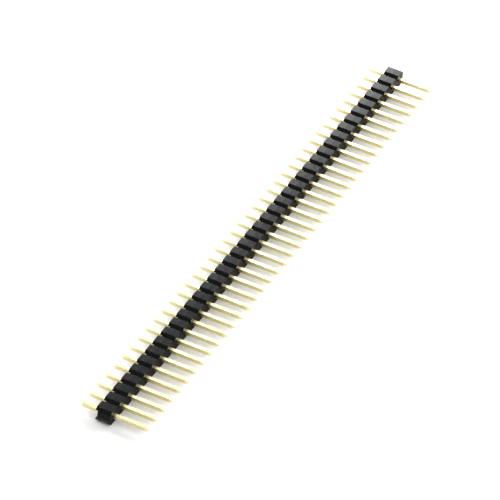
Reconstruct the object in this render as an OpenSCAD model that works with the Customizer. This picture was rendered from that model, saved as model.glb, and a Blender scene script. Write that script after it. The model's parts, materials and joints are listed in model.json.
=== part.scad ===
// Single-row pin header strip, lying on one side of its housing.
// X runs along the row, the mating posts point to -Y and the solder tails to +Y.
// The origin is the centre of the footprint, on the surface that the strip lies on.
// Sizes are in millimetres.

/* [Row] */
// Number of positions, each with one pin
positions = 40; // [2:1:50]
// Distance from one pin to the next, and length of one block
pitch = 2.54; // [2.4:0.01:4]

/* [Housing] */
// Depth of the moulding along the pins, from the board feet to the mating face
housing_d = 2.54; // [1.5:0.01:6]
// Height of the moulding across the row
housing_h = 2.54; // [2.1:0.01:4]
// Chamfer on the corners of each block, two of which make a break-off notch
notch = 0.5; // [0.2:0.01:0.8]
// Depth of the channel between the feet, which stands the moulding off the board
channel_d = 0.4; // [0.1:0.01:0.8]
// Thickness of the feet on both sides of the channel
foot_t = 0.4; // [0.2:0.01:0.6]
// Chamfer that leads a pin into its hole at the mating face
lead_in = 0.1; // [0.05:0.01:0.2]

/* [Pins] */
// Side of the square pin
pin_w = 0.64; // [0.45:0.01:0.8]
// Length of the post that stands out of the mating face
post_l = 5.84; // [2:0.01:15]
// Length of the tail that stands out beyond the feet
tail_l = 3.05; // [2:0.01:12]
// Side of the blunt end of a tip
tip_w = 0.3; // [0.1:0.01:0.4]
// Length of the taper pressed into each end
tip_l = 0.5; // [0.2:0.01:0.9]
// Play on each side of a pin in its hole
play = 0.01; // [0.005:0.005:0.03]

/* [Hidden] */
// The whole row and the whole pin
row_l = positions * pitch;
pin_l = post_l + housing_d + tail_l;

// Plane of the feet and plane of the mating face, with the pins centred on Y = 0
seat_y = pin_l / 2 - tail_l;
mate_y = seat_y - housing_d;

// The pins run at mid height
pin_z = housing_h / 2;
hole_w = pin_w + 2 * play;

// How far a cutter runs past the face that it opens
over = 1;

// Side of a pin at each station along Y
pin_stations = [
    [-pin_l / 2, tip_w],
    [-pin_l / 2 + tip_l, pin_w],
    [pin_l / 2 - tip_l, pin_w],
    [pin_l / 2, tip_w]
];

// Side of a hole at each station along Y, opening at 45 degrees through the mating face
hole_stations = [
    [mate_y - over, hole_w + 2 * (lead_in + over)],
    [mate_y + lead_in, hole_w],
    [seat_y + over, hole_w]
];

function pin_x(i) = (i - (positions + 1) / 2) * pitch;

function pin_name(i) = str("pin_", i < 10 ? "0" : "", i);

// Upper outline of one block, from its left notch to the edge of its right one
function block_top(x) = [
    [x - pitch / 2, housing_h - notch],
    [x - pitch / 2 + notch, housing_h],
    [x + pitch / 2 - notch, housing_h]
];

// The same points turned half round the block's centre, for the lower outline
function block_bottom(x) = [for (p = block_top(x)) [2 * x - p[0], housing_h - p[1]]];

// Outline of the whole row, seen along the pins
module row_outline() {
    upper = [for (i = [1:positions]) each block_top(pin_x(i))];
    lower = [for (i = [positions:-1:1]) each block_bottom(pin_x(i))];
    left_end = [-row_l / 2, notch];
    right_end = [row_l / 2, housing_h - notch];
    polygon(concat(upper, [right_end], lower, [left_end]));
}

// Prism along Z whose width in X follows the stations
module station_prism(stations) {
    last = len(stations) - 1;
    widest = max([for (s = stations) s[1]]);
    right = [for (i = [0:last]) [stations[i][1] / 2, stations[i][0]]];
    left = [for (i = [last:-1:0]) [-stations[i][1] / 2, stations[i][0]]];
    linear_extrude(widest, center = true)
        polygon(concat(right, left));
}

// Square bar along Y, tapered between its stations on all four sides
module square_bar(stations) {
    intersection() {
        station_prism(stations);
        rotate([0, 90, 0]) station_prism(stations);
    }
}

// Channel along the board side, open at both ends of the row
module channel() {
    translate([-row_l / 2 - over, seat_y - channel_d, foot_t])
        cube([row_l + 2 * over, channel_d + over, housing_h - 2 * foot_t]);
}

module housing() {
    color([0.09, 0.09, 0.10])
        difference() {
            translate([0, seat_y, 0])
                rotate([90, 0, 0])
                    linear_extrude(housing_d) row_outline();
            channel();
            for (i = [1:positions])
                translate([pin_x(i), 0, pin_z]) square_bar(hole_stations);
        }
}

module pin(i) {
    color([0.90, 0.82, 0.55])
        translate([pin_x(i), 0, pin_z])
            square_bar(pin_stations);
}

housing();
for (i = [1:positions])
    pin(i);
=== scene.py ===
"""A single-row pin header strip, lying with its pins level on a studio floor.

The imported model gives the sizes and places. The housing and its contacts are modelled again here
with the small radii of the real mouldings and drawn wire, and each takes a procedural finish.
X runs along the row, -Y is the mating side, +Y the board side and Z = 0 is the floor.
"""

from __future__ import annotations

import json
import logging
import math
import random
from dataclasses import dataclass
from enum import Enum
from typing import Any, Sequence

import bmesh
import bpy
from mathutils import Matrix, Vector

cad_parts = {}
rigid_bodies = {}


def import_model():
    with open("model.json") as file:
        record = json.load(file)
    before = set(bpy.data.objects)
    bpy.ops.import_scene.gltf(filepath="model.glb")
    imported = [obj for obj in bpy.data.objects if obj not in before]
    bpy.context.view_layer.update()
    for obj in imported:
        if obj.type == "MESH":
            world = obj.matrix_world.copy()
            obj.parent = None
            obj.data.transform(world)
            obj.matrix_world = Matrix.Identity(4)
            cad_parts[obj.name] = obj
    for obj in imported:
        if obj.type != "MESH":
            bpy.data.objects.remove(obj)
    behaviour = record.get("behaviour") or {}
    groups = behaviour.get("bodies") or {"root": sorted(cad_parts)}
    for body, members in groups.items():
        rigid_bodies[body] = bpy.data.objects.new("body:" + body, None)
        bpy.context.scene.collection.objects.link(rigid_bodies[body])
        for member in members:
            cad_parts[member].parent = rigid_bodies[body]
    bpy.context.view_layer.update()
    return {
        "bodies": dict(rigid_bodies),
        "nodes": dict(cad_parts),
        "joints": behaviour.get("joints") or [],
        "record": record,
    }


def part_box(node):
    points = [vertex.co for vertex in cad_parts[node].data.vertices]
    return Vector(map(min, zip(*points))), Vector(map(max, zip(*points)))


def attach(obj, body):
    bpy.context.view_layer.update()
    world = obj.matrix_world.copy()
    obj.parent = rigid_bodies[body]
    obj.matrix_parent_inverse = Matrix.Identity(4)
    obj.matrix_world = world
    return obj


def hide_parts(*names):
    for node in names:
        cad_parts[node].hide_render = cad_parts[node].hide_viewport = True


LOG = logging.getLogger("pin_header")
MM = 0.001
ON_PLANE = 1e-7  # metres: two places closer than this are the same
WELD = 1e-6  # metres: corners closer than this become one
Colour = tuple[float, float, float]
Place = tuple[float, float, float]
Socket = bpy.types.NodeSocket
Value = Any  # a socket to join, or a plain value to set
Inputs = Any  # a node's sockets, read by name


# ---------------------------------------------------------------------------
# Sizes
# ---------------------------------------------------------------------------


@dataclass(frozen=True)
class RowPlan:
    """The sizes and places that the housing and its contacts share, in metres."""

    names: tuple[str, ...]
    pitch: float
    left: float
    right: float
    mate_y: float
    seat_y: float
    height: float
    pin_w: float
    pin_half: float

    @classmethod
    def from_frame(cls, frame: dict[str, Any]) -> RowPlan:
        """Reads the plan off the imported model.


        Returns:
            The plan of the row.
        """
        names = tuple(sorted(n for n in frame["nodes"] if n.startswith("pin_")))
        low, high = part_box("housing")
        first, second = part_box(names[0]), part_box(names[1])
        return cls(
            names=names,
            pitch=second[0][0] - first[0][0],
            left=low[0],
            right=high[0],
            mate_y=low[1],
            seat_y=high[1],
            height=high[2],
            pin_w=first[1][0] - first[0][0],
            pin_half=(first[1][1] - first[0][1]) / 2,
        )

    @property
    def positions(self) -> int:
        """Returns how many positions the row has."""
        return len(self.names)

    @property
    def pin_z(self) -> float:
        """Returns the height of the pins' axes."""
        return self.height / 2

    def x_of(self, index: int) -> float:
        """Returns the X of the position with that index, from 0."""
        return self.left + (index + 0.5) * self.pitch


class Wall(Enum):
    """Which neck wall of a block is closed, because no neighbour joins it there."""

    NONE = 0
    LEFT = -1
    RIGHT = 1


# ---------------------------------------------------------------------------
# Mesh helpers
# ---------------------------------------------------------------------------


def cut(bm: bmesh.types.BMesh, at: Vector, normal: Vector, trim: bool = False) -> None:
    """Cuts the whole mesh along a plane.

    Args:
        bm: The mesh.
        at: A point on the plane.
        normal: The plane's normal.
        trim: True to remove what lies on the normal's side.
    """
    geom = [*bm.verts, *bm.edges, *bm.faces]
    bmesh.ops.bisect_plane(
        bm, geom=geom, dist=ON_PLANE, plane_co=at, plane_no=normal, clear_outer=trim
    )


def pull(
    bm: bmesh.types.BMesh, faces: Sequence[bmesh.types.BMFace], step: float, keep: bool = False
) -> list[bmesh.types.BMVert]:
    """Extrudes faces along Y.

    Args:
        bm: The mesh.
        faces: The faces.
        step: How far they go, in metres.
        keep: True to leave the first faces where they are, as the other side of a sheet.

    Returns:
        The corners of the moved faces.
    """
    made = bmesh.ops.extrude_face_region(bm, geom=faces)
    moved = [g for g in made["geom"] if isinstance(g, bmesh.types.BMVert)]
    bmesh.ops.translate(bm, vec=(0, step, 0), verts=moved)
    if not keep:
        bmesh.ops.delete(bm, geom=faces, context="FACES")
    return moved


def same(a: float, b: float) -> bool:
    """Returns True where two coordinates are one place."""
    return abs(a - b) < ON_PLANE


def finish_piece(
    bm: bmesh.types.BMesh, name: str, material: bpy.types.Material
) -> bpy.types.Object:
    """Turns a mesh into a smooth-shaded piece at the origin, with one material.

    Args:
        bm: The mesh, which is freed.
        name: The piece's name.
        material: Its material.

    Returns:
        The new object.
    """
    mesh = bpy.data.meshes.new(name)
    bm.to_mesh(mesh)
    bm.free()
    mesh.materials.append(material)
    mesh.shade_smooth()
    piece = bpy.data.objects.new(name, mesh)
    bpy.context.scene.collection.objects.link(piece)
    return piece


def round_edges(piece: bpy.types.Object, radius: float, steps: int, angle: float) -> None:
    """Rounds a piece's edges and keeps its broad faces shaded flat.

    Args:
        piece: The piece.
        radius: The edges' radius.
        steps: How many faces cross each edge.
        angle: The least angle between two faces that is rounded.
    """
    rounding = piece.modifiers.new("edge radius", "BEVEL")
    rounding.width = radius
    rounding.segments = steps
    rounding.limit_method = "ANGLE"
    rounding.angle_limit = angle
    rounding.harden_normals = True


# ---------------------------------------------------------------------------
# Housing
# ---------------------------------------------------------------------------


@dataclass
class Housing:
    """The moulded insulator: a chain of chamfered blocks, joined at their break-off notches."""

    plan: RowPlan
    notch: float = 0.5 * MM
    channel_d: float = 0.4 * MM
    foot_t: float = 0.4 * MM
    lead_in: float = 0.03 * MM
    play: float = 0.01 * MM
    draft: float = math.radians(1.2)
    edge_r: float = 0.04 * MM
    edge_steps: int = 3
    edge_angle: float = math.radians(30)

    @property
    def hole_half(self) -> float:
        """Returns half the side of a pin's hole."""
        return self.plan.pin_w / 2 + self.play

    @property
    def mouth_half(self) -> float:
        """Returns half the side of the hole's mouth, with its lead-in."""
        return self.hole_half + self.lead_in

    @property
    def floor_y(self) -> float:
        """Returns the Y of the channel's floor."""
        return self.plan.seat_y - self.channel_d

    def outline(self, x: float) -> bmesh.types.BMesh:
        """Makes one block's mating face, with its corners cut off and its hole open.

        Args:
            x: The block's middle.

        Returns:
            A flat mesh in the mating plane.
        """
        plan, half = self.plan, self.plan.pitch / 2
        middle = Vector((x, plan.mate_y, plan.pin_z))
        bm = bmesh.new()
        bmesh.ops.create_grid(bm, x_segments=1, y_segments=1, size=0.5)
        bmesh.ops.scale(bm, vec=(plan.pitch, plan.height, 1.0), verts=bm.verts)
        bmesh.ops.rotate(bm, matrix=Matrix.Rotation(math.pi / 2, 3, "X"), verts=bm.verts)
        bmesh.ops.translate(bm, vec=middle, verts=bm.verts)
        for side in (-1, 1):
            for up in (-1, 1):
                corner = middle + Vector((side * half, 0, up * (plan.pin_z - self.notch)))
                cut(bm, corner, Vector((side, 0, up)), trim=True)
            wall = Vector((side * self.hole_half, 0, 0))
            cut(bm, middle + wall, Vector((1, 0, 0)))
            for level in (self.hole_half, plan.pin_z - self.foot_t):
                cut(bm, middle + Vector((0, 0, side * level)), Vector((0, 0, 1)))
        hole = min(bm.faces, key=lambda f: (f.calc_center_median() - middle).length)
        bmesh.ops.delete(bm, geom=[hole], context="FACES")
        return bm

    def deepen(self, bm: bmesh.types.BMesh) -> None:
        """Extrudes a mating face to the channel's floor, and the feet on to the board plane.

        Args:
            bm: The flat mesh from outline().
        """
        plan = self.plan
        pull(bm, bm.faces[:], self.floor_y - plan.mate_y, keep=True)
        bm.normal_update()  # the cuts that follow read the faces' normals
        reach = plan.pin_z - self.foot_t
        feet = [
            f
            for f in bm.faces
            if all(same(v.co.y, self.floor_y) for v in f.verts)
            and abs(f.calc_center_median().z - plan.pin_z) > reach
        ]
        pull(bm, feet, self.channel_d)

    def open_mouth(self, bm: bmesh.types.BMesh, x: float) -> None:
        """Widens the hole at the mating face into its lead-in chamfer.

        Args:
            bm: The block.
            x: The block's middle.
        """
        plan = self.plan

        def in_hole(v: bmesh.types.BMVert) -> bool:
            """Returns True for a corner of the hole."""
            return max(abs(v.co.x - x), abs(v.co.z - plan.pin_z)) < self.hole_half + ON_PLANE

        walls = [f for f in bm.faces if all(map(in_hole, f.verts))]
        # each once, in a fixed order
        edges = dict.fromkeys(e for f in walls for e in f.edges)
        verts = dict.fromkeys(v for f in walls for v in f.verts)
        level = Vector((x, plan.mate_y + self.lead_in, plan.pin_z))
        bmesh.ops.bisect_plane(
            bm, geom=[*verts, *edges, *walls], dist=ON_PLANE, plane_co=level, plane_no=(0, 1, 0)
        )
        rim = [v for v in bm.verts if in_hole(v) and same(v.co.y, plan.mate_y)]
        grow = self.mouth_half / self.hole_half
        space = Matrix.Translation((-x, -plan.mate_y, -plan.pin_z))
        bmesh.ops.scale(bm, vec=(grow, 1, grow), space=space, verts=rim)

    def draw_in(self, bm: bmesh.types.BMesh) -> None:
        """Lowers the moulding from its parting line to both ends of the draw, by its draft.

        The edges of the parting line are marked sharp.

        Args:
            bm: The whole moulding.
        """
        plan = self.plan
        parting = (plan.mate_y + plan.seat_y) / 2
        cut(bm, Vector((0, parting, 0)), Vector((0, 1, 0)))
        for edge in bm.edges:
            edge.smooth = not all(same(v.co.y, parting) for v in edge.verts)
        for level in (plan.mate_y, self.floor_y, plan.seat_y):
            skin = [
                v
                for v in bm.verts
                if same(v.co.y, level) and abs(v.co.z - plan.pin_z) > self.mouth_half + ON_PLANE
            ]
            drop = abs(level - parting) * math.tan(self.draft) / plan.pin_z
            space = Matrix.Translation((0, 0, -plan.pin_z))
            bmesh.ops.scale(bm, vec=(1, 1, 1 - drop), space=space, verts=skin)

    def block(self, index: int, closed: Wall) -> bmesh.types.BMesh:
        """Makes one block of the chain.

        Args:
            index: Its position, from 0.
            closed: The neck wall that stays, at an end of the row.

        Returns:
            The block, open at the necks that meet a neighbour.
        """
        x = self.plan.x_of(index)
        bm = self.outline(x)
        self.deepen(bm)
        self.open_mouth(bm, x)
        necks = [
            f
            for f in bm.faces
            for side in (Wall.LEFT, Wall.RIGHT)
            if side is not closed
            and same(f.calc_center_median().x, x + side.value * self.plan.pitch / 2)
        ]
        bmesh.ops.delete(bm, geom=necks, context="FACES")
        return bm

    def build(self, material: bpy.types.Material) -> None:
        """Joins the blocks into one closed moulding, rounds its edges and puts it in the frame.

        Args:
            material: The plastic.
        """
        last = self.plan.positions - 1
        whole = bmesh.new()
        for index in range(self.plan.positions):
            closed = {0: Wall.LEFT, last: Wall.RIGHT}.get(index, Wall.NONE)
            bm = self.block(index, closed)
            part = bpy.data.meshes.new("block")
            bm.to_mesh(part)
            bm.free()
            whole.from_mesh(part)
            bpy.data.meshes.remove(part)
        bmesh.ops.remove_doubles(whole, verts=whole.verts, dist=WELD)
        self.draw_in(whole)
        bmesh.ops.recalc_face_normals(whole, faces=whole.faces)
        piece = finish_piece(whole, "insulator", material)
        round_edges(piece, self.edge_r, self.edge_steps, self.edge_angle)
        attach(piece, "root")
        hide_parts("housing")
        LOG.info("insulator: %d blocks", self.plan.positions)


# ---------------------------------------------------------------------------
# Contacts
# ---------------------------------------------------------------------------


@dataclass
class Contacts:
    """The square pins, drawn from wire, with a taper pressed into both ends."""

    plan: RowPlan
    tip_w: float = 0.3 * MM
    tip_l: float = 0.5 * MM
    edge_r: float = 0.03 * MM
    edge_steps: int = 3
    edge_angle: float = math.radians(12)
    twist: float = math.radians(0.9)
    lean: float = math.radians(0.15)
    lean_room: float = 0.002 * MM
    seed: int = 40

    def pin(self, x: float, chance: random.Random) -> bmesh.types.BMesh:
        """Makes one pin.

        Args:
            x: Its place along the row.
            chance: The row's random numbers.

        Returns:
            The pin in place, with a slight twist and lean in its hole.
        """
        plan = self.plan
        shank = 2 * (plan.pin_half - self.lean_room - self.tip_l)
        shrink = self.tip_w / plan.pin_w
        bm = bmesh.new()
        bmesh.ops.create_cube(bm, size=1.0)
        bmesh.ops.scale(bm, vec=(plan.pin_w, shank, plan.pin_w), verts=bm.verts)
        for way in (-1, 1):
            end = max(bm.faces, key=lambda f: way * f.calc_center_median().y)
            tip = pull(bm, [end], way * self.tip_l)
            bmesh.ops.scale(bm, vec=(shrink, 1, shrink), verts=tip)
        bmesh.ops.recalc_face_normals(bm, faces=bm.faces)
        turn = (
            Matrix.Rotation(chance.uniform(-self.lean, self.lean), 4, "Z")
            @ Matrix.Rotation(chance.uniform(-self.lean, self.lean), 4, "X")
            @ Matrix.Rotation(chance.uniform(-self.twist, self.twist), 4, "Y")
        )
        bmesh.ops.transform(
            bm, matrix=Matrix.Translation((x, 0, plan.pin_z)) @ turn, verts=bm.verts
        )
        return bm

    def build(self, material: bpy.types.Material) -> None:
        """Makes every pin of the row, each in place of its CAD node.

        Args:
            material: The plating.
        """
        chance = random.Random(self.seed)
        for index, name in enumerate(self.plan.names):
            x = self.plan.x_of(index)
            bm = self.pin(x, chance)
            piece = finish_piece(bm, name.replace("pin", "contact"), material)
            round_edges(piece, self.edge_r, self.edge_steps, self.edge_angle)
            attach(piece, "root")
            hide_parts(name)
            LOG.info("%s at %.2f mm", piece.name, x / MM)


# ---------------------------------------------------------------------------
# Shader building blocks
# ---------------------------------------------------------------------------


class NodeSheet:
    """A node tree with short calls for adding and joining nodes."""

    def __init__(self, tree: bpy.types.NodeTree) -> None:
        """Starts on an existing tree, emptied."""
        self.tree = tree
        tree.nodes.clear()

    def add(self, kind: str, **settings: Any) -> bpy.types.Node:
        """Adds a node.

        Args:
            kind: The node's type.
            settings: Properties to set on it.

        Returns:
            The node.
        """
        node = self.tree.nodes.new(kind)
        for key, value in settings.items():
            setattr(node, key, value)
        return node

    def feed(self, node: bpy.types.Node, **inputs: Value) -> bpy.types.Node:
        """Joins or sets a node's inputs, named with underscores for spaces.

        Args:
            node: The node.
            inputs: A socket to join, or a value to set, for each input.

        Returns:
            The same node.
        """
        for key, value in inputs.items():
            self.put(node.inputs[key.replace("_", " ")], value)
        return node

    def put(self, socket: Socket, value: Value) -> None:
        """Joins a socket to another, or sets its value.

        Args:
            socket: The input.
            value: The output to join it to, or its value.
        """
        if isinstance(value, bpy.types.NodeSocket):
            self.tree.links.new(value, socket)
        else:
            socket.default_value = value

    def calc(self, operation: str, *values: Value, clamp: bool = False) -> Socket:
        """Adds a Math node.

        Args:
            operation: Its operation.
            values: Its inputs, in order.
            clamp: True to clamp the result to 0 to 1.

        Returns:
            The result.
        """
        node = self.add("ShaderNodeMath", operation=operation, use_clamp=clamp)
        for socket, value in zip(node.inputs, values):
            self.put(socket, value)
        return node.outputs[0]

    def span(
        self, value: Value, low: float, high: float, to: tuple[float, float] = (0.0, 1.0)
    ) -> Socket:
        """Maps a value from low and high to the two ends of a range, with a smooth step.

        Args:
            value: The value's socket.
            low: Where the step starts.
            high: Where it ends.
            to: The results at the two ends.

        Returns:
            The mapped value.
        """
        node = self.add("ShaderNodeMapRange", interpolation_type="SMOOTHSTEP")
        self.feed(node, Value=value, From_Min=low, From_Max=high, To_Min=to[0], To_Max=to[1])
        return node.outputs["Result"]

    def mix(self, factor: Value, a: Value, b: Value) -> Socket:
        """Mixes two colours.

        Args:
            factor: How much of the second.
            a: The first colour.
            b: The second colour.

        Returns:
            The mixed colour.
        """
        node = self.add("ShaderNodeMix", data_type="RGBA", clamp_factor=True)
        for key, value in (("Factor_Float", factor), ("A_Color", a), ("B_Color", b)):
            socket = next(s for s in node.inputs if s.identifier == key)
            self.put(socket, (*value, 1.0) if isinstance(value, tuple) else value)
        return next(s for s in node.outputs if s.identifier == "Result_Color")


class SurfaceGroup:
    """A node group with a vector and named numbers in, and one value out."""

    name = "surface"
    numbers: dict[str, float] = {}

    def __init__(self) -> None:
        """Makes the group's sockets and nodes."""
        self.group = bpy.data.node_groups.new(self.name, "ShaderNodeTree")
        sockets = self.group.interface
        sockets.new_socket("Vector", in_out="INPUT", socket_type="NodeSocketVector")
        for key, value in self.numbers.items():
            made = sockets.new_socket(key, in_out="INPUT", socket_type="NodeSocketFloat")
            made.default_value = value
        sockets.new_socket("Value", in_out="OUTPUT", socket_type="NodeSocketFloat")
        sheet = NodeSheet(self.group)
        inputs = sheet.add("NodeGroupInput").outputs
        result = self.draw(sheet, inputs)
        sheet.put(sheet.add("NodeGroupOutput").inputs["Value"], result)

    def draw(self, sheet: NodeSheet, inputs: Inputs) -> Socket:
        """Makes the nodes between the sockets.

        Args:
            sheet: The group's tree.
            inputs: The group's inputs by name.

        Returns:
            The socket that gives the value.
        """
        raise NotImplementedError

    def place(self, sheet: NodeSheet, vector: Socket, **numbers: float) -> Socket:
        """Puts the group into a material.

        Args:
            sheet: The material's tree.
            vector: The coordinates to read.
            numbers: Values for the named inputs.

        Returns:
            The group's value.
        """
        node = sheet.add("ShaderNodeGroup", node_tree=self.group)
        sheet.feed(node, Vector=vector, **numbers)
        return node.outputs["Value"]


def stretched(sheet: NodeSheet, inputs: Inputs) -> Socket:
    """Divides coordinates by a feature size, which is longer along Y.

    Args:
        sheet: The tree.
        inputs: A group's inputs, with Vector, Size and Stretch.

    Returns:
        The scaled coordinates.
    """
    combined = sheet.add("ShaderNodeCombineXYZ")
    long_size = sheet.calc("MULTIPLY", inputs["Size"], inputs["Stretch"])
    sheet.feed(combined, X=inputs["Size"], Y=long_size, Z=inputs["Size"])
    divide = sheet.add("ShaderNodeVectorMath", operation="DIVIDE")
    sheet.put(divide.inputs[0], inputs["Vector"])
    sheet.put(divide.inputs[1], combined.outputs[0])
    return divide.outputs[0]


def noise(
    sheet: NodeSheet, vector: Socket, detail: float, roughness: Value, scale: float = 1.0
) -> Socket:
    """Adds a noise texture.

    Args:
        sheet: The tree.
        vector: The coordinates, in features.
        detail: How many finer layers it has.
        roughness: How strong they are.
        scale: Its features along one unit of the coordinates.

    Returns:
        The noise, about one half.
    """
    node = sheet.add("ShaderNodeTexNoise")
    sheet.feed(node, Vector=vector, Scale=scale, Detail=detail, Roughness=roughness)
    return node.outputs[0]


class Mottle(SurfaceGroup):
    """Slow patches of tone, such as flow in a moulding or uneven plating."""

    name = "mottle"
    numbers = {"Size": 0.001, "Stretch": 1.0, "Contrast": 1.0}

    def draw(self, sheet: NodeSheet, inputs: Inputs) -> Socket:
        """Draws soft noise about one half, spread by its contrast.

        Args:
            sheet: The group's tree.
            inputs: The group's inputs by name.

        Returns:
            The patches, from 0 to 1.
        """
        patches = noise(sheet, stretched(sheet, inputs), detail=3.0, roughness=0.55)
        centred = sheet.calc("SUBTRACT", patches, 0.5)
        spread = sheet.calc("MULTIPLY", centred, inputs["Contrast"])
        return sheet.calc("ADD", spread, 0.5, clamp=True)


class Grain(SurfaceGroup):
    """Fine texture: the sparked skin of a mould, or the lines left by a wire die."""

    name = "grain"
    numbers = {"Size": 0.0001, "Stretch": 1.0, "Roughness": 0.6}

    def draw(self, sheet: NodeSheet, inputs: Inputs) -> Socket:
        """Draws detailed noise at the size of the grain.

        Args:
            sheet: The group's tree.
            inputs: The group's inputs by name.

        Returns:
            The grain's height.
        """
        return noise(sheet, stretched(sheet, inputs), detail=4.0, roughness=inputs["Roughness"])


class Scuffs(SurfaceGroup):
    """Thin rubbed marks, where a slow noise crosses its middle value."""

    name = "scuffs"
    numbers = {"Size": 0.002, "Stretch": 0.2, "Width": 0.02, "Amount": 0.5}
    rubbed_band: tuple[float, float] = (0.48, 0.62)

    def draw(self, sheet: NodeSheet, inputs: Inputs) -> Socket:
        """Draws the contour lines of one noise, broken up by another.

        Args:
            sheet: The group's tree.
            inputs: The group's inputs by name.

        Returns:
            The marks, from 0 to their amount.
        """
        vector = stretched(sheet, inputs)
        lines = noise(sheet, vector, detail=1.0, roughness=0.4)
        off = sheet.calc("ABSOLUTE", sheet.calc("SUBTRACT", lines, 0.5))
        weight = sheet.calc("SUBTRACT", 1.0, sheet.calc("DIVIDE", off, inputs["Width"]), clamp=True)
        patches = noise(sheet, vector, detail=2.0, roughness=0.5, scale=0.7)
        where = sheet.span(patches, *self.rubbed_band)
        return sheet.calc("MULTIPLY", sheet.calc("MULTIPLY", weight, where), inputs["Amount"])


@dataclass(frozen=True)
class Effects:
    """The node groups that the finishes share."""

    mottle: Mottle
    grain: Grain
    scuffs: Scuffs


class Surface:
    """A material under construction: its tree, its coordinates and its shader."""

    def __init__(self, name: str) -> None:
        """Starts a material with a Principled shader joined to its output.

        Args:
            name: The material's name.
        """
        self.material = bpy.data.materials.new(name)
        self.material.use_nodes = True
        self.sheet = NodeSheet(self.material.node_tree)
        self.shader = self.sheet.add("ShaderNodeBsdfPrincipled")
        output = self.sheet.add("ShaderNodeOutputMaterial")
        self.sheet.put(output.inputs["Surface"], self.shader.outputs[0])
        self.place = self.sheet.add("ShaderNodeTexCoord").outputs["Object"]
        self.normal: Socket | None = None

    def axis(self, name: str) -> Socket:
        """Adds a reader of one coordinate.

        Args:
            name: The axis.

        Returns:
            The coordinate of the surface on that axis.
        """
        split = self.sheet.add("ShaderNodeSeparateXYZ")
        self.sheet.put(split.inputs[0], self.place)
        return split.outputs[name]

    def tint(self, colour: Socket) -> None:
        """Joins the shader's colour."""
        self.sheet.put(self.shader.inputs["Base Color"], colour)

    def blur(self, base: Socket, *extras: tuple[Socket, float]) -> None:
        """Joins the shader's roughness.

        Args:
            base: The roughness of the untouched surface.
            extras: Masks, each with the roughness that it adds where it is 1.
        """
        rough = base
        for mask, amount in extras:
            rough = self.sheet.calc("ADD", rough, self.sheet.calc("MULTIPLY", mask, amount))
        self.sheet.put(self.shader.inputs["Roughness"], rough)

    def bump(self, height: Socket, distance: float) -> None:
        """Raises the surface, on top of the bumps added before.

        Args:
            height: The height's socket.
            distance: The height in metres at a value of 1.
        """
        node = self.sheet.add("ShaderNodeBump")
        self.sheet.feed(node, Height=height, Distance=distance, Strength=1.0)
        if self.normal is not None:
            self.sheet.feed(node, Normal=self.normal)
        self.normal = node.outputs["Normal"]
        self.sheet.put(self.shader.inputs["Normal"], self.normal)


# ---------------------------------------------------------------------------
# Finishes
# ---------------------------------------------------------------------------


@dataclass(frozen=True)
class MouldedPlastic:
    """Black glass-filled polyester with a satin skin and snapped ends."""

    dark: Colour = (0.003, 0.003, 0.0032)
    pale: Colour = (0.007, 0.0068, 0.0072)
    rubbed: Colour = (0.05, 0.05, 0.052)
    sheen: float = 0.23
    gloss: tuple[float, float] = (0.20, 0.28)
    gloss_band: tuple[float, float] = (0.2, 0.8)
    flow_size: float = 1.1 * MM
    flow_stretch: float = 0.6
    flow_contrast: float = 2.2
    flow_blur: float = 0.05
    fleck_size: float = 0.2 * MM
    fleck_contrast: float = 0.5
    mark_size: float = 1.6 * MM
    mark_stretch: float = 0.35
    mark_width: float = 0.015
    mark_amount: float = 0.3
    mating_blur: float = 0.18
    mating_depth: float = 0.03 * MM
    grain_size: float = 0.05 * MM
    grain_height: float = 0.0002 * MM
    grain_roughness: float = 0.65
    snap_depth: float = 0.05 * MM
    snap_size: float = 0.16 * MM
    snap_height: float = 0.02 * MM
    snap_roughness: float = 0.7
    snap_blur: float = 0.15
    snap_lip: tuple[float, float] = (1.25 * MM, 0.6 * MM)
    stressed: Colour = (0.10, 0.10, 0.087)
    stressed_band: tuple[float, float] = (0.35, 0.65)

    def make(self, effects: Effects, plan: RowPlan) -> bpy.types.Material:
        """Makes the material.

        Args:
            effects: The shared node groups.
            plan: The row, for the places of its two ends and its mating face.

        Returns:
            The material.
        """
        made = Surface("moulded plastic")
        sheet, place = made.sheet, made.place
        flow = effects.mottle.place(
            sheet, place, Size=self.flow_size, Stretch=self.flow_stretch, Contrast=self.flow_contrast
        )
        flecks = effects.mottle.place(
            sheet, place, Size=self.fleck_size, Contrast=self.fleck_contrast
        )
        marks = effects.scuffs.place(
            sheet,
            place,
            Size=self.mark_size,
            Stretch=self.mark_stretch,
            Width=self.mark_width,
            Amount=self.mark_amount,
        )
        colour = sheet.mix(sheet.calc("MULTIPLY", flow, flecks), self.dark, self.pale)
        colour = sheet.mix(marks, colour, self.rubbed)

        from_middle = sheet.calc("ABSOLUTE", made.axis("X"))
        ends = sheet.span(from_middle, plan.right - self.snap_depth, plan.right)
        torn = effects.grain.place(
            sheet, place, Size=self.snap_size, Roughness=self.snap_roughness
        )
        last_torn = sheet.span(made.axis("Z"), *self.snap_lip)
        pulled = sheet.calc("MULTIPLY", sheet.span(torn, *self.stressed_band), last_torn)
        made.tint(sheet.mix(sheet.calc("MULTIPLY", ends, pulled), colour, self.stressed))

        made.shader.inputs["Specular IOR Level"].default_value = self.sheen
        made.blur(
            sheet.span(flecks, *self.gloss_band, self.gloss),
            (flow, self.flow_blur),
            (ends, self.snap_blur),
            (
                sheet.span(made.axis("Y"), plan.mate_y + self.mating_depth, plan.mate_y),
                self.mating_blur,
            ),
        )

        skin = effects.grain.place(
            sheet, place, Size=self.grain_size, Roughness=self.grain_roughness
        )
        made.bump(skin, self.grain_height)
        made.bump(marks, self.grain_height)
        made.bump(sheet.calc("MULTIPLY", torn, ends), self.snap_height)
        return made.material


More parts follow.
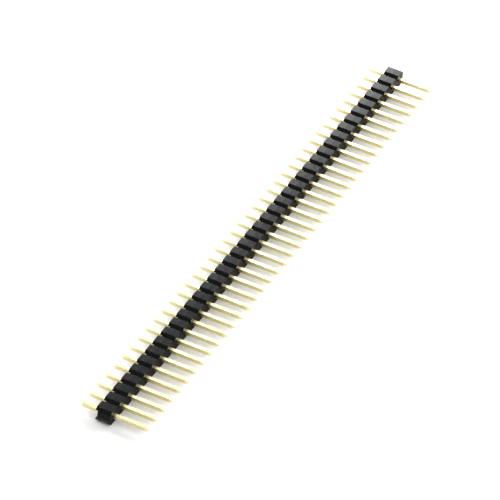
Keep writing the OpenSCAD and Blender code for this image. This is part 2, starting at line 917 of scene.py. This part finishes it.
@dataclass(frozen=True)
class Plating:
    """Thin pale gold over drawn brass wire, with the bare metal showing at the sheared ends. The
    gold is painted paler near the housing and deeper toward the tips, as a painted highlight.
    """

    pale: Colour = (0.75, 0.695, 0.44)
    deep: Colour = (0.70, 0.625, 0.35)
    bare: Colour = (0.80, 0.62, 0.38)
    gloss: tuple[float, float] = (0.25, 0.34)
    gloss_band: tuple[float, float] = (0.2, 0.8)
    line_size: float = 0.03 * MM
    line_stretch: float = 45.0
    line_height: float = 0.0010 * MM
    line_roughness: float = 0.55
    patch_size: float = 1.3 * MM
    patch_contrast: float = 1.8
    patch_lift: float = 0.45
    mark_size: float = 0.5 * MM
    mark_stretch: float = 6.0
    mark_width: float = 0.02
    mark_amount: float = 0.5
    mark_blur: float = 0.12
    # Painted highlight: where along the pin the pale gold starts to give way to the deep gold, and
    # how much deep gold there is from there to the tip.
    highlight_fade_from: float = 0.35
    highlight_fade_share: tuple[float, float] = (0.15, 0.75)
    shear_depth: tuple[float, float] = (0.03 * MM, 0.01 * MM)
    shear_share: float = 0.6
    shear_blur: float = 0.2

    def make(self, effects: Effects, plan: RowPlan) -> bpy.types.Material:
        """Makes the material.

        Args:
            effects: The shared node groups.
            plan: The row, for the places of the pins' ends.

        Returns:
            The material.
        """
        made = Surface("gold plating")
        sheet, place = made.sheet, made.place
        patches = effects.mottle.place(
            sheet, place, Size=self.patch_size, Contrast=self.patch_contrast
        )
        lines = effects.grain.place(
            sheet,
            place,
            Size=self.line_size,
            Stretch=self.line_stretch,
            Roughness=self.line_roughness,
        )
        marks = effects.scuffs.place(
            sheet,
            place,
            Size=self.mark_size,
            Stretch=self.mark_stretch,
            Width=self.mark_width,
            Amount=self.mark_amount,
        )
        reach = sheet.calc("ABSOLUTE", made.axis("Y"))
        # Painted highlight: the gold is paler near the housing and deeper toward the tips, broken up
        # by the patches.
        far = sheet.span(reach, plan.pin_half * self.highlight_fade_from, plan.pin_half, self.highlight_fade_share)
        lifted = sheet.calc("ADD", patches, self.patch_lift)
        weight = sheet.calc("MULTIPLY", far, lifted, clamp=True)
        colour = sheet.mix(weight, self.pale, self.deep)
        sheared = sheet.span(reach, *(plan.pin_half - depth for depth in self.shear_depth))
        made.tint(sheet.mix(sheet.calc("MULTIPLY", sheared, self.shear_share), colour, self.bare))
        made.shader.inputs["Metallic"].default_value = 1.0

        made.blur(
            sheet.span(patches, *self.gloss_band, self.gloss),
            (marks, self.mark_blur),
            (sheared, self.shear_blur),
        )
        made.bump(lines, self.line_height)
        made.bump(marks, self.line_height)
        return made.material


@dataclass(frozen=True)
class PaperFloor:
    """Plain white sweep paper."""

    tone: Colour = (0.90, 0.90, 0.90)
    blur: float = 0.85
    sheen: float = 0.2
    tooth_size: float = 0.4 * MM
    tooth_height: float = 0.004 * MM

    def make(self, effects: Effects) -> bpy.types.Material:
        """Makes the material.

        Args:
            effects: The shared node groups.

        Returns:
            The material.
        """
        made = Surface("sweep paper")
        made.shader.inputs["Base Color"].default_value = (*self.tone, 1.0)
        made.shader.inputs["Roughness"].default_value = self.blur
        made.shader.inputs["Specular IOR Level"].default_value = self.sheen
        tooth = effects.grain.place(made.sheet, made.place, Size=self.tooth_size)
        made.bump(tooth, self.tooth_height)
        return made.material


# ---------------------------------------------------------------------------
# Studio
# ---------------------------------------------------------------------------


@dataclass(frozen=True)
class Softbox:
    """A flat, white, soft light that faces the middle of the row.

    Its place and sides are in metres, its radiance in watts per square metre and steradian.
    """

    name: str
    place: Place
    sides: tuple[float, float]
    radiance: float

    def hang(self) -> None:
        """Makes the light."""
        data = bpy.data.lights.new(self.name, "AREA")
        data.shape = "RECTANGLE"
        data.size, data.size_y = self.sides
        data.energy = self.radiance * math.pi * data.size * data.size_y
        light = bpy.data.objects.new(self.name, data)
        bpy.context.scene.collection.objects.link(light)
        facing = (-Vector(self.place)).to_track_quat("-Z", "Y")
        light.matrix_world = Matrix.Translation(self.place) @ facing.to_matrix().to_4x4()


@dataclass(frozen=True)
class Viewpoint:
    """Where the camera stands, given by what it looks at and from which side.

    The angles are in degrees, the aim, distance and clip in metres, the lens and sensor in mm.
    """

    aim: Place
    azimuth: float
    elevation: float
    roll: float
    distance: float
    lens: float
    sensor: float = 36.0
    clip: tuple[float, float] = (0.01, 10.0)

    def shoot(self) -> None:
        """Makes the camera and gives it to the scene."""
        data = bpy.data.cameras.new("camera")
        data.lens, data.sensor_width = self.lens, self.sensor
        data.clip_start, data.clip_end = self.clip
        camera = bpy.data.objects.new("camera", data)
        bpy.context.scene.collection.objects.link(camera)
        a, e = math.radians(self.azimuth), math.radians(self.elevation)
        back = Vector((math.sin(a) * math.cos(e), -math.cos(a) * math.cos(e), math.sin(e)))
        facing = (-back).to_track_quat("-Z", "Y")
        roll = Matrix.Rotation(math.radians(self.roll), 3, "Z").to_quaternion()
        place = Vector(self.aim) + back * self.distance
        camera.matrix_world = Matrix.Translation(place) @ (facing @ roll).to_matrix().to_4x4()
        bpy.context.scene.camera = camera


@dataclass
class Studio:
    """The floor, the lights and the camera."""

    effects: Effects
    floor_side: float = 3.0
    ambient: float = 0.88
    tent: Colour = (1.0, 1.0, 1.0)
    boxes: Sequence[Softbox] = (
        Softbox("key", (0.36, 0.12, 0.17), (0.32, 0.14), 9.5),
        Softbox("right", (0.85, -0.35, 0.45), (0.60, 0.60), 9.9),
        Softbox("back", (0.10, 0.85, 0.30), (0.90, 0.45), 4.9),
    )
    contrast: Sequence[tuple[float, float]] = (
        (0.02, 0.009),
        (0.05, 0.0265),
        (0.10, 0.064),
        (0.20, 0.158),
        (0.35, 0.317),
        (0.55, 0.532),
        (0.80, 0.793),
    )
    view: Viewpoint = Viewpoint(
        aim=(-0.003678, 0.000819, 0.001224),
        azimuth=-66.912,
        elevation=38.538,
        roll=6.041,
        distance=0.6525,
        lens=302.59,
    )

    def lay_floor(self) -> None:
        """Makes the floor, which isn't part of the object."""
        bm = bmesh.new()
        bmesh.ops.create_grid(bm, x_segments=1, y_segments=1, size=self.floor_side / 2)
        floor = finish_piece(bm, "floor", PaperFloor().make(self.effects))

    def light(self) -> None:
        """Hangs the softboxes, sets the white tent around them and the tone curve."""
        for box in self.boxes:
            box.hang()
        world = bpy.data.worlds.new("room")
        world.use_nodes = True
        sky = world.node_tree.nodes["Background"]
        sky.inputs["Color"].default_value = (*self.tent, 1.0)
        sky.inputs["Strength"].default_value = self.ambient
        bpy.context.scene.world = world
        shown = bpy.context.scene.view_settings
        shown.view_transform = "Standard"
        shown.use_curve_mapping = True
        *_, combined = shown.curve_mapping.curves
        for place in self.contrast:
            combined.points.new(*place)
        shown.curve_mapping.update()

    def build(self) -> None:
        """Sets the whole studio up."""
        self.lay_floor()
        self.light()
        self.view.shoot()
        LOG.info("studio: %d lights", len(self.boxes))


# ---------------------------------------------------------------------------
# Main
# ---------------------------------------------------------------------------


def main() -> None:
    """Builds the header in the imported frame."""
    logging.basicConfig(level=logging.INFO, format="%(name)s: %(message)s")
    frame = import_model()
    plan = RowPlan.from_frame(frame)
    effects = Effects(Mottle(), Grain(), Scuffs())
    Housing(plan).build(MouldedPlastic().make(effects, plan))
    Contacts(plan).build(Plating().make(effects, plan))
    Studio(effects).build()


if __name__ == "__main__":
    main()
